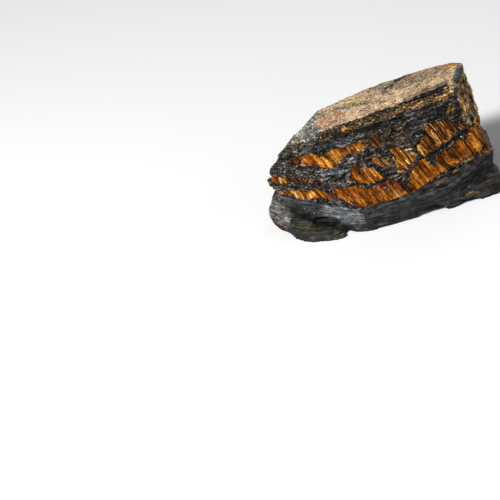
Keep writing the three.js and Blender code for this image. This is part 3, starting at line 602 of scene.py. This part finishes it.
def mesh_object(name, points, faces, marks, uv):
    """A piece from points in the frame of the beds, faces with equally many corners, values at its points,
    and the places of the corners of its faces on a flat map."""
    mesh = bpy.data.meshes.new(name)
    mesh.vertices.add(len(points))
    mesh.loops.add(faces.size)
    mesh.polygons.add(len(faces))
    mesh.vertices.foreach_set("co", row_frame(points).astype(np.float32).ravel())
    mesh.loops.foreach_set("vertex_index", faces.astype(np.int32).ravel())
    mesh.polygons.foreach_set("loop_start", np.arange(0, faces.size, faces.shape[1], dtype=np.int32))
    mesh.update(calc_edges=True)
    mesh.shade_flat()
    for key, values in marks.items():
        write_mark(mesh, key, values.astype(np.float32))
    mesh.uv_layers.new(name="OFBake").uv.foreach_set("vector", uv.astype(np.float32).ravel())
    made = bpy.data.objects.new(name, mesh)
    bpy.context.scene.collection.objects.link(made)
    return made


def write_mark(mesh, key, values):
    if values.ndim == 1:
        mesh.attributes.new(key, "FLOAT", "POINT").data.foreach_set("value", values)
    else:
        mesh.attributes.new(key, "FLOAT_COLOR", "POINT").data.foreach_set("color", values.ravel())


def row_frame(points):
    """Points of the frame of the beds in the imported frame, in metres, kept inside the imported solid's box."""
    low, high = (np.array(corner) for corner in cad_box)
    return np.clip((points - BEDS_ORIGIN) * MM, low, high)


def read(items, key, width, kind=np.float32):
    values = np.empty(len(items) * width, kind)
    items.foreach_get(key, values)
    return values.reshape(-1, width).astype(float if kind is np.float32 else int)


def dress(piece, material):
    piece.data.materials.append(material)
    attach(piece, "root")
    return piece


# ---- The stone itself ----

def soft_skin(node):
    """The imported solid's surface in even cells, softened, in the frame of the beds."""
    mesh = node.data.copy()
    mesh.transform(Matrix.Scale(1 / MM, 4))
    holder = bpy.data.objects.new("skin", mesh)
    bpy.context.scene.collection.objects.link(holder)
    cells = holder.modifiers.new("cells", "REMESH")
    cells.mode = "VOXEL"
    cells.voxel_size = CELL
    soften = holder.modifiers.new("soften", "SMOOTH")
    soften.iterations = SOFTEN_ROUNDS
    mesh = bpy.data.meshes.new_from_object(holder.evaluated_get(bpy.context.evaluated_depsgraph_get()))
    bpy.data.objects.remove(holder)
    points = read(mesh.vertices, "co", 3) + BEDS_ORIGIN
    faces = read(mesh.polygons, "vertices", 4, np.int32)
    triangles = np.concatenate([faces[:, [0, 1, 2]], faces[:, [0, 2, 3]]])
    tree = BVHTree.FromPolygons(points.tolist(), triangles.tolist())
    normals = read(mesh.vertex_normals, "vector", 3)
    return SimpleNamespace(points=points, normals=normals, faces=faces, triangles=triangles, tree=tree)


def bed_relief(points, bed):
    facet_sizes, lump_sizes, shelves = RELIEF[bed]
    relief = all_facets(points, facet_sizes) + all_lumps(points, lump_sizes)
    return relief + sum(ledges(points, *shelf) for shelf in shelves)


def fine_relief(points, marks):
    """How far each point moves out along its normal."""
    inside = smooth_step(marks["gold"], *GOLD_BORDER)
    relief = blend(bed_relief(points, "dark"), furrows(points), inside)
    for bed in ("slab", "crust", "rim", "end"):
        relief = blend(relief, bed_relief(points, bed), smooth_step(marks[bed], *BED_BORDER))
    return relief - cracks(points)[1]


def carve(skin, relief):
    """The fine relief on the skin. The base stays flat and nothing goes below it."""
    moved = skin.points + skin.normals * relief[:, None]
    in_base = (skin.normals[:, 2] < BASE.facing) & (skin.points[:, 2] < BASE.height)
    moved[:, 2] = np.where(in_base, 0, np.maximum(moved[:, 2], 0))
    return moved


def charts(skin):
    """Places on a flat map for the corners of each face, with one chart for each of the six sides."""
    facing = skin.normals[skin.faces].mean(1)
    side = np.abs(facing).argmax(1)
    positive = np.take_along_axis(facing, side[:, None], 1)[:, 0] > 0
    low, high = skin.points.min(0), skin.points.max(0)
    length, depth, height = high - low
    corners = skin.points[skin.faces] - low
    u = np.where((side == 0)[:, None], corners[:, :, 1], corners[:, :, 0])
    v = np.where((side == 2)[:, None], corners[:, :, 1], corners[:, :, 2])
    # front and back beside each other, top and base above them, and the two ends above those
    column = positive * np.where(side == 0, depth, length)
    row = np.choose(side, [height + depth, 0, height])
    places = np.stack([u + column[:, None], v + row[:, None]], 2)
    return places / (2 * length, 2 * height + depth)


def build_stone(skin, marks):
    relief = fine_relief(skin.points, marks)
    values = {**marks, "relief": relief}
    stone = mesh_object("stone_body", carve(skin, relief), skin.faces, values, charts(skin))
    smooth = (marks["slab"][skin.faces] > 0).all(1)
    stone.data.polygons.foreach_set("use_smooth", smooth)
    return stone


# ---- What grows on it ----

def unit(vectors):
    return vectors / np.maximum(np.linalg.norm(vectors, axis=-1, keepdims=True), 1e-9)


def scatter(skin, weight, count, rng):
    """Random points on the skin, by area times the weight of each triangle, with their normals."""
    a, b, c = (skin.points[skin.triangles[:, k]] for k in range(3))
    area = np.linalg.norm(np.cross(b - a, c - a), axis=1) * weight
    bounds = np.cumsum(area)
    chosen = np.searchsorted(bounds, rng.uniform(0, bounds[-1], count)).clip(0, len(area) - 1)
    u, v = np.sort(rng.uniform(0, 1, (2, count)), 0)[:, :, None]
    spots = a[chosen] * u + b[chosen] * (v - u) + c[chosen] * (1 - v)
    return spots, skin.normals[skin.triangles[chosen, 0]]


def on_skin(skin, points):
    """The nearest points of the skin, and its normals there."""
    hits = [skin.tree.find_nearest(point) for point in points.tolist()]
    return np.array([hit[0] for hit in hits]), np.array([hit[1] for hit in hits])


MAP_MARGIN = 0.08


def map_cells(count, places):
    """A flat map with a square for each small piece, and a margin around it. `places` are those of its
    corners in its square."""
    across = math.ceil(math.sqrt(count))
    cell = np.arange(count)
    origin = np.stack([cell % across, cell // across], 1) / across
    return origin[:, None, None, :] + (MAP_MARGIN + (1 - 2 * MAP_MARGIN) * places)[None] / across


def fibre_spots(skin, gold, covers, count, rng):
    """Where fibres grow, mostly on the ridges between furrows, and their way down along the skin."""
    middle = skin.points[skin.triangles].mean(1)
    lean = unit(np.array([LEAN, 0, -1.0]))
    alongside = np.abs(skin.normals[skin.triangles[:, 0]] @ lean) < FIBRE.end_on
    thickly = FIBRE.in_furrows + smooth_step(furrows(middle), *FIBRE.ridge)
    weight = (gold > FIBRE.inset) * alongside * covers(middle) * thickly
    spots, normals = scatter(skin, weight, count, rng)
    stray = rng.normal(0, FIBRE.stray, (count, 3))
    return spots, unit(lean - (normals @ lean)[:, None] * normals + stray)


def fibre_span(spots, along, length, rng):
    """How far each fibre runs up and down from its spot before it leaves its lens."""
    up = length * rng.uniform(*FIBRE.above, len(spots))
    ends = []
    for sign, reach in ((-1, up), (1, length - up)):
        run = np.zeros(len(spots))
        inside = np.ones(len(spots), bool)
        for share in np.linspace(0, 1, FIBRE.steps)[1:]:
            inside &= inside_gold(spots + sign * along * (reach * share)[:, None]) > -FIBRE.past
            run = np.where(inside, reach * share, run)
        ends.append(run)
    return ends


def fibre_rings(skin, spots, along, ends, width, rng):
    """The corners of each fibre, ring by ring. It hugs the skin, and its upper tip stands a little proud."""
    up, down = ends
    tip = rng.uniform(*FIBRE.tip, len(spots))
    roll = rng.uniform(0, 2 * math.pi, len(spots))
    corners = []
    for share, thick in zip(RING_SHARES, RING_WIDTHS):
        centre, out = on_skin(skin, spots + along * (share * (up + down) - up)[:, None])
        centre = centre + out * (furrows(centre) + FIBRE.lift * width + tip * (1 - share))[:, None]
        across = unit(np.cross(along, out))
        for k in range(SIDES):
            turn = (roll + 2 * math.pi * k / SIDES)[:, None]
            arm = across * np.cos(turn) + out * np.sin(turn)
            corners.append(centre + arm * (FIBRE.radius * thick * width)[:, None])
    return np.stack(corners, 1)


def hugs_skin(skin, rings):
    """Whether each fibre stays close to the skin between its rings, and spans no hollow."""
    centres = rings.reshape(len(rings), -1, SIDES, 3).mean(2)
    middles = (centres[:, 1:] + centres[:, :-1]) / 2
    nearest = on_skin(skin, middles.reshape(-1, 3))[0].reshape(middles.shape)
    return np.linalg.norm(middles - nearest, axis=2).max(1) < FIBRE.gap


def prism_faces():
    """The triangles of a fibre: its sides, ring by ring, and its two ends."""
    sides = []
    for ring in range(len(RING_SHARES) - 1):
        for k in range(SIDES):
            a, b = ring * SIDES + k, ring * SIDES + (k + 1) % SIDES
            sides += [(a, a + SIDES, b), (b, a + SIDES, b + SIDES)]
    last = (len(RING_SHARES) - 1) * SIDES
    return np.array(sides + [(0, 1, 2), (last, last + 2, last + 1)])


def fibre_tone(spots, width, rng):
    """How light each fibre is: alike within a bundle, and darker in the furrows as painted shade."""
    place = fibre_place(spots)
    lens = lens_depths(spots).argmax(0)
    bundles = swell(place, FIBRE_TONE.broad, 4) + swell(place, FIBRE_TONE.fine, 9)
    own = rng.normal(0, FIBRE_TONE.own, len(spots))
    own = own + FIBRE_TONE.gain * (width > FIBRE_TONE.wide) * rng.uniform(0, 1, len(spots))
    tone = FIBRE_TONE.middle + LENS_TONES[lens] + bundles + LENS_SPREADS[lens] * own
    # Painted shade: fibres lying in furrows are darker, and those on ridges lighter
    return np.clip(tone + FIBRE_TONE.furrow_shade * furrows(spots), 0, 1)


def build_fibres(name, skin, gold, covers, count, rng):
    """Splinters of golden quartz along the fibres, in bundles, each a prism with three sides."""
    spots, along = fibre_spots(skin, gold, covers, count, rng)
    width = blend(*FIBRE.width, rng.beta(*FIBRE.width_odds, count))
    up, down = fibre_span(spots, along, rng.uniform(*FIBRE.length, count), rng)
    keep = up + down > FIBRE.slender * width
    spots, along, up, down, width = (rows[keep] for rows in (spots, along, up, down, width))
    rings = fibre_rings(skin, spots, along, (up, down), width, rng)
    keep = hugs_skin(skin, rings)
    spots, width, rings = spots[keep], width[keep], rings[keep]
    count, corners = rings.shape[:2]
    base = prism_faces()
    faces = (base[None] + corners * np.arange(count)[:, None, None]).reshape(-1, 3)
    shares = np.repeat(RING_SHARES, SIDES)
    places = np.stack([np.tile(RING_COLUMNS, len(RING_SHARES)), shares], 1)[base]
    marks = {"tone": np.repeat(fibre_tone(spots, width, rng), corners)}
    marks["stain"] = np.repeat(stain(spots), corners, 0)
    marks["up"] = np.tile(1 - shares, count)
    return mesh_object(name, rings.reshape(-1, 3), faces, marks, map_cells(count, places))


def dress_fibres(skin, gold):
    material = fibre_material()
    for seed, (name, (count, covers)) in enumerate(FIBRE_PIECES.items()):
        dress(build_fibres(name, skin, gold, covers, count, np.random.default_rng(seed)), material)


OCTAHEDRON = np.array([
    (0, 2, 4), (2, 1, 4), (1, 3, 4), (3, 0, 4), (2, 0, 5), (1, 2, 5), (3, 1, 5), (0, 3, 5),
])
# Where its six corners lie on a flat map
OCTAHEDRON_MAP = np.array([(1, 0.5), (0, 0.5), (0.5, 1), (0.5, 0), (0.6, 0.6), (0.4, 0.4)])


def build_grains(name, spots, normals, size, shape, middle, rng):
    """Small crystals half sunk in the skin at the spots: octahedra with uneven arms, scaled by `shape` along
    X, Y and Z. Their tones spread around the middle."""
    count = len(spots)
    first = unit(rng.normal(0, 1, (count, 3)))
    third = unit(np.cross(first, rng.normal(0, 1, (count, 3))))
    half = blend(*size, rng.beta(*GRAIN.size_odds, count))
    corners = []
    for axis in (first, np.cross(third, first), third):
        for sign in (1, -1):
            reach = half * rng.uniform(*GRAIN.arms, count)
            corners.append(sign * axis * reach[:, None])
    centre = spots + normals * (GRAIN.lift * half)[:, None]
    points = centre[:, None] + np.stack(corners, 1) * shape
    faces = (OCTAHEDRON[None] + 6 * np.arange(count)[:, None, None]).reshape(-1, 3)
    patches = swell(spots, GRAIN.broad, 3) + swell(spots, GRAIN.fine, 5)
    odds = (GRAIN.gather * middle, GRAIN.gather - GRAIN.gather * middle)
    tone = np.clip(rng.beta(*odds, count) + patches, 0, 1)
    marks = {"tone": np.repeat(tone, 6), "stain": np.repeat(stain(spots), 6, 0)}
    uv = map_cells(count, OCTAHEDRON_MAP[OCTAHEDRON])
    return mesh_object(name, points.reshape(-1, 3), faces, marks, uv)


def grain_weights(skin, inside):
    """How thickly each piece's grains lie on each triangle of the skin."""
    x = skin.points[skin.triangles].mean(1)[:, 0]
    crust, rim, end = (inside[bed] > 0 for bed in ("crust", "rim", "end"))
    uncracked = inside["crack"] < UNCRACKED
    return {
        "crust_grains": crust * np.where(rim, CRUST_ON_RIM, 1) * uncracked,
        "salty_grains": crust * (x > CORNER[0]) * (x < CORNER[1]),
        "hematite_grains": np.all([inside[bed] < 0 for bed in ("gold", "slab", "crust", "end")], axis=0),
        "rim_crumbs": (rim + CRUMBS_ON_END * end) * uncracked,
    }


def dress_grains(skin, inside):
    weights, materials = grain_weights(skin, inside), grain_materials()
    for seed, (name, (count, size, shape, middle)) in enumerate(GRAIN_PIECES.items(), GRAIN_SEED):
        rng = np.random.default_rng(seed)
        spots, normals = scatter(skin, weights[name], count, rng)
        dress(build_grains(name, spots, normals, size, shape, middle, rng), materials[name])


def dress_glints(skin):
    spots, normals = on_skin(skin, np.array(GLINTS))
    rng = np.random.default_rng(GLINT_SEED)
    # Painted glint: near-white shiny crystals set where sparkles of light stand
    painted_glints = build_grains("painted_glints", spots, normals, GLINT_SIZE, (1, 1, 1), GLINT_TONE, rng)
    dress(painted_glints, grain_material("painted_glint_grains", "crust", dull=0.3, shiny=0.15))


# ---- Materials: g is the graph of the one that is being made ----

class Graph:
    """A material's nodes. Each method adds a node and returns its output."""

    def __init__(self, name):
        self.material = bpy.data.materials.new(name)
        self.material.use_nodes = True
        self.tree = self.material.node_tree
        self.tree.nodes.clear()
        place = self.add("ShaderNodeTexCoord", output="Object")
        self.place = self.add("ShaderNodeVectorMath", {0: place, "Scale": 1 / MM}, operation="SCALE")

    def add(self, kind, inputs=None, output=0, **settings):
        node = self.tree.nodes.new(kind)
        for key, value in settings.items():
            setattr(node, key, value)
        for key, value in (inputs or {}).items():
            if isinstance(value, bpy.types.NodeSocket):
                self.tree.links.new(value, node.inputs[key])
            else:
                node.inputs[key].default_value = value
        return node.outputs[output] if node.outputs else None

    def maths(self, operation, a, b=0.0):
        return self.add("ShaderNodeMath", {0: a, 1: b}, operation=operation)

    def total(self, *terms):
        """The sum of (value, weight) terms."""
        found = 0.0
        for value, weight in terms:
            found = self.maths("ADD", self.maths("MULTIPLY", value, weight), found)
        return found

    def attribute(self, name, output="Fac"):
        return self.add("ShaderNodeAttribute", output=output, attribute_name=name)

    def over(self, *widths):
        """The place in millimetres over these widths."""
        return self.add("ShaderNodeVectorMath", {0: self.place, 1: widths}, operation="DIVIDE")

    def up_fibres(self, width, length):
        """The place across and up the fibres, over this width and length."""
        way = {0: self.place, 1: (1, 0, LEAN)}
        lean = self.add("ShaderNodeVectorMath", way, "Value", operation="DOT_PRODUCT")
        across, up = (self.add("ShaderNodeSeparateXYZ", {0: self.place}, axis) for axis in "YZ")
        turned = self.add("ShaderNodeCombineXYZ", {0: lean, 1: across, 2: up})
        sizes = (width, width, length)
        return self.add("ShaderNodeVectorMath", {0: turned, 1: sizes}, operation="DIVIDE")

    def spread(self, value, low, high, **way):
        """The value spread so that low becomes 0 and high becomes 1."""
        return self.add("ShaderNodeMapRange", {"Value": value, "From Min": low, "From Max": high}, **way)

    def noise(self, place, detail=2.0):
        """Smooth noise that fills 0 to 1."""
        inputs = {"Vector": place, "Scale": 1.0, "Detail": detail, "Roughness": 0.6}
        return self.spread(self.add("ShaderNodeTexNoise", inputs, "Fac"), 0.3, 0.7)

    def crystals(self, *sizes):
        """A random number for each crystal of these sizes."""
        colour = self.add("ShaderNodeTexVoronoi", {"Vector": self.over(*sizes), "Scale": 1.0}, "Color")
        return self.add("ShaderNodeSeparateColor", {0: colour}, "Red")

    def ramp(self, value, codes):
        """Colours laid out evenly from 0 to 1."""
        node = self.tree.nodes.new("ShaderNodeValToRGB")
        stops = node.color_ramp.elements
        while len(stops) < len(codes):
            stops.new(0.5)
        for k, code in enumerate(codes):
            stops[k].position = k / (len(codes) - 1)
            stops[k].color = (*linear(code), 1)
        self.tree.links.new(value, node.inputs[0])
        return node.outputs[0]

    def step(self, value, low, high):
        return self.spread(value, low, high, interpolation_type="SMOOTHSTEP")

    def mix(self, share, a, b, way="MIX"):
        return self.add("ShaderNodeMix", {0: share, 6: a, 7: b}, 2, data_type="RGBA", blend_type=way)

    def mix_values(self, share, a, b):
        return self.add("ShaderNodeMix", {0: share, 2: a, 3: b})

    def bump(self, height, depth):
        """A normal from a height of 0 to 1, `depth` millimetres deep."""
        return self.add("ShaderNodeBump", {"Height": height, "Distance": depth * MM}, "Normal")

    def finish(self, **inputs):
        """The surface, with its sockets named as Blender does, with _ for a space."""
        named = {key.replace("_", " "): value for key, value in inputs.items()}
        shader = self.add("ShaderNodeBsdfPrincipled", named)
        self.add("ShaderNodeOutputMaterial", {"Surface": shader})
        return self.material


# How far on each side of its border one bed's colour goes over into the next one's
BORDER_BLUR = 0.06
# Stains come in between these tones of the grains, which darken and lighten them to these shares
STAINED = SimpleNamespace(tones=(-0.5, 0.35), light=(0.1, 1.7))
# Painted shade darkens the stone to these shares in furrows, between these levels of the relief, and in cracks
PAINTED_SHADE = SimpleNamespace(levels=(-0.4, 0.1), furrow_shade=0.15, crack=0.1)
# How rough beds are in their darkest and their lightest grains. The others are as rough as what they cover.
ROUGHNESS = {"dark": (0.75, 0.5), "slab": (0.6, 0.45), "crust": (0.9, 0.7)}
# How deep the bumps on the stone and on its grains are
STONE_BUMP, GRAIN_BUMP = 0.14, 0.03


def stained(g, colour, tone):
    """The stains over a colour, with its light and dark grains."""
    share = g.maths("MULTIPLY", g.attribute("stain", "Alpha"), g.step(tone, *STAINED.tones))
    light = g.mix_values(g.maths("MULTIPLY", tone, tone), *STAINED.light)
    return g.mix(share, colour, g.mix(1.0, g.attribute("stain", "Color"), light, "MULTIPLY"))


def coloured(g, palette, tone):
    """The colours of a palette by tone, with the drifts of other hues over them."""
    colour = g.ramp(tone, PALETTES[palette])
    for codes, widths in CASTS.get(palette, []):
        colour = g.mix(1.0, colour, g.ramp(g.noise(g.over(*widths), detail=3.0), codes), "OVERLAY")
    return colour


def gold_tone(g):
    return g.total((g.noise(g.up_fibres(0.5, 5.0)), 0.5), (g.noise(g.up_fibres(0.16, 3.0)), 0.5))


# How light each bed is: its crystals as (weight, sizes), its drifts as (weight, widths, detail), the weight
# of its relief, which paints light on what stands out and shade in hollows, and what of their sum is
# spread over 0 to 1
TONES = {
    # crystals, in patches that lie along the beds
    "dark": ((0.4, (0.4, 0.4, 0.26)), [(0.38, (0.9, 0.9, 0.4), 3), (0.22, (4, 4, 0.5), 2)],
             0.4, (0.2, 0.85)),
    # fine lines along the beds, broken up by patches and grains
    "slab": ((0.16, (0.28, 0.28, 0.2)), [(0.5, (6, 6, 0.22), 3), (0.34, (1.6, 1.6, 0.7), 3)],
             0, (0.15, 0.85)),
    # sand in streaks, chips on the rim, and broad flakes on the end
    "crust": ((0.5, (0.26, 0.26, 0.26)), [(0.5, (1.4, 0.4, 0.4), 3)], 0.8, None),
    "rim": ((0.5, (0.9, 0.5, 0.36)), [(0.4, (0.6, 0.4, 0.3), 3)], 0.4, (0.28, 0.9)),
    "end": ((0.22, (0.34, 0.34, 0.3)), [(0.6, (1.6, 1.6, 1.3), 4)], 0.8, (0.04, 0.84)),
}


def bed_tone(g, bed, relief):
    (share, sizes), drifts, painted_relief_shade, limits = TONES[bed]
    parts = [(g.noise(g.over(*widths), detail), weight) for weight, widths, detail in drifts]
    # Painted light and shade: the relief makes raised places lighter and hollows darker
    mixed = g.total((g.crystals(*sizes), share), *parts, (relief, painted_relief_shade))
    return g.spread(mixed, *limits) if limits else mixed


def stone_material():
    g = Graph("banded_stone")
    relief = g.attribute("relief")
    tones = {bed: bed_tone(g, bed, relief) for bed in TONES}
    tones["gold"] = gold_tone(g)
    borders = {bed: g.step(g.attribute(bed), -BORDER_BLUR, BORDER_BLUR) for bed in BEDS}
    tone, colour = tones["dark"], coloured(g, "dark", tones["dark"])
    roughness = g.mix_values(tone, *ROUGHNESS["dark"])
    for bed in BEDS:
        tone = g.mix_values(borders[bed], tone, tones[bed])
        colour = g.mix(borders[bed], colour, coloured(g, bed, tones[bed]))
        if bed in ROUGHNESS:
            roughness = g.mix_values(borders[bed], roughness, g.mix_values(tones[bed], *ROUGHNESS[bed]))
    colour = stained(g, colour, tone)
    # Painted shade: the colour is darkened where the relief sinks and inside cracks
    shade = g.mix_values(g.step(relief, *PAINTED_SHADE.levels), PAINTED_SHADE.furrow_shade, 1.0)
    shade = g.maths("MULTIPLY", shade, g.mix_values(g.attribute("crack"), 1.0, PAINTED_SHADE.crack))
    colour = g.mix(1.0, colour, shade, "MULTIPLY")
    normal = g.bump(tone, STONE_BUMP)
    return g.finish(Base_Color=colour, Roughness=roughness, Normal=normal, Specular_IOR_Level=0.15)


SILK = SimpleNamespace(
    # Streaks and scratches along a fibre, as (width, length), and the widths of its blotches
    streaks=(0.1, 2.4), scratches=(0.06, 1.2), blotches=(0.8, 0.8, 0.6),
    # What streaks, blotches and its tip add to its tone, and between which shares of it the tip begins
    changes=(0.25, 0.26, 0.1), tip=(0.8, 1),
    # How rough its dark and its light streaks are, and how deep its scratches are
    roughness=(0.4, 0.65), bump=0.03,
)


def fibre_material():
    g = Graph("golden_fibres")
    streaks = g.noise(g.up_fibres(*SILK.streaks))
    blotches = g.noise(g.over(*SILK.blotches), detail=3.0)
    changes = [g.maths("SUBTRACT", noise, 0.5) for noise in (streaks, blotches)]
    changes.append(g.step(g.attribute("up"), *SILK.tip))
    tone = g.total((g.attribute("tone"), 1.0), *zip(changes, SILK.changes))
    colour = stained(g, coloured(g, "fibres", tone), tone)
    roughness = g.mix_values(streaks, *SILK.roughness)
    normal = g.bump(g.noise(g.up_fibres(*SILK.scratches), detail=1.0), SILK.bump)
    return g.finish(Base_Color=colour, Roughness=roughness, Normal=normal, Specular_IOR_Level=0.2)


# Wear on grains: its width, its share in their tone, and what it leaves of their roughness. Between the last
# two tones grains turn shiny.
WEAR = SimpleNamespace(width=0.15, share=0.1, polish=0.7, shiny=(0.85, 0.97))


def grain_material(name, palette, dull, shiny, stains=1.0, **inputs):
    """Grains coloured by their own tone, with a dull roughness. The lightest are shiny."""
    g = Graph(name)
    tone = g.attribute("tone")
    wear = g.noise(g.over(WEAR.width, WEAR.width, WEAR.width), detail=1.0)
    own = coloured(g, palette, g.total((tone, 1 - WEAR.share), (wear, WEAR.share)))
    colour = g.mix(stains, own, stained(g, own, tone))
    worn = g.mix_values(wear, dull, WEAR.polish * dull)
    roughness = g.mix_values(g.step(tone, *WEAR.shiny), worn, shiny)
    return g.finish(Base_Color=colour, Roughness=roughness, Normal=g.bump(wear, GRAIN_BUMP), **inputs)


def grain_materials():
    return {
        "crust_grains": grain_material("sandy_grains", "crust", dull=0.85, shiny=0.25),
        "salty_grains": grain_material("salty_grains", "salt", dull=0.7, shiny=0.2, stains=0.2),
        "hematite_grains": grain_material(
            "hematite_grains", "dark", dull=0.6, shiny=0.2, Specular_IOR_Level=0.4),
        "rim_crumbs": grain_material("rim_crumbs", "rim", dull=0.8, shiny=0.5),
    }


# ---- Stage: floor, light and camera ----

FLOOR_SIZE, FLOOR_SHADE = 4.0, 0.7
WORLD_LIGHT = 0.14
# Area lamps: the way to them, how far and how wide they are in metres, and their power in watts
LAMPS = {
    "key": ((-0.55, -0.4, 0.73), 0.6, 0.13, 5.6),
    "fill": ((1, -0.4, 0.35), 0.8, 0.5, 1.8),
    "back": ((0.5, 0.85, 0.3), 0.8, 0.5, 1.6),
}
# The camera looks down at this angle and is rolled by this much. It stands this far from a spot of the
# stone, which it shows at this pixel of a 500 x 500 picture and at this scale.
ELEVATION, ROLL, DISTANCE = math.radians(28), math.radians(15.5), 0.6
PICTURE, SPOT_PIXEL, PIXELS_PER_MM = 500, (380, 150), 4.4
SPOT = (0.0017, 0.0, 0.01212)
SENSOR = 36.0


def build_floor():
    corners = FLOOR_SIZE / 2 * np.array([(-1, -1, 0), (1, -1, 0), (1, 1, 0), (-1, 1, 0)])
    mesh = bpy.data.meshes.new("floor")
    mesh.from_pydata(corners.tolist(), [], [(0, 1, 2, 3)])
    floor = bpy.data.objects.new("floor", mesh)
    bpy.context.scene.collection.objects.link(floor)
    mesh.materials.append(Graph("pale_floor").finish(Base_Color=(FLOOR_SHADE,) * 3 + (1,), Roughness=0.9))


def build_light():
    world = bpy.data.worlds.new("studio")
    world.use_nodes = True
    sky = world.node_tree.nodes["Background"]
    sky.inputs["Color"].default_value = (1, 1, 1, 1)
    sky.inputs["Strength"].default_value = WORLD_LIGHT
    bpy.context.scene.world = world
    for name, (way, distance, size, power) in LAMPS.items():
        lamp = bpy.data.lights.new(name, "AREA")
        lamp.energy = power
        lamp.size = size
        holder = bpy.data.objects.new(name, lamp)
        holder.location = Vector(way).normalized() * distance
        holder.rotation_euler = Vector(way).to_track_quat("Z", "Y").to_euler()
        bpy.context.scene.collection.objects.link(holder)


def build_camera():
    ahead = Vector((0, math.cos(ELEVATION), -math.sin(ELEVATION)))
    above = Vector((0, math.sin(ELEVATION), math.cos(ELEVATION)))
    offset = Vector((SPOT_PIXEL[0] - PICTURE / 2, PICTURE / 2 - SPOT_PIXEL[1]))
    focal = math.sqrt((PIXELS_PER_MM * DISTANCE / MM) ** 2 - offset.length_squared)
    # The same three directions as the camera has them: towards the spot, along X on the picture, and up it
    towards = Vector((*offset, -focal)).normalized()
    level = Vector((math.cos(ROLL), math.sin(ROLL), 0))
    level = (level - level.dot(towards) * towards).normalized()
    upwards = level.cross(towards)
    upwards *= -1 if upwards.y < 0 else 1
    seen = Matrix((level, upwards, towards)).transposed()
    real = Matrix(((1, 0, 0), above, ahead)).transposed()
    turn = real @ seen.transposed()
    lens = bpy.data.cameras.new("camera")
    lens.sensor_width = SENSOR
    lens.lens = SENSOR * focal / PICTURE
    camera = bpy.data.objects.new("camera", lens)
    camera.matrix_world = Matrix.Translation(Vector(SPOT) - DISTANCE * ahead) @ turn.to_4x4()
    bpy.context.scene.collection.objects.link(camera)
    bpy.context.scene.camera = camera


# ---- Putting it together ----

build_camera()
build_light()
build_floor()
bpy.context.scene.view_settings.view_transform = "Standard"

skin = soft_skin(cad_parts["tiger_iron"])
marks = bed_marks(skin.points)
body = dress(build_stone(skin, marks), stone_material())
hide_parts("tiger_iron")

inside = {bed: marks[bed][skin.triangles].mean(1) for bed in (*BEDS, "crack")}
dress_fibres(skin, inside["gold"])
dress_grains(skin, inside)
dress_glints(skin)
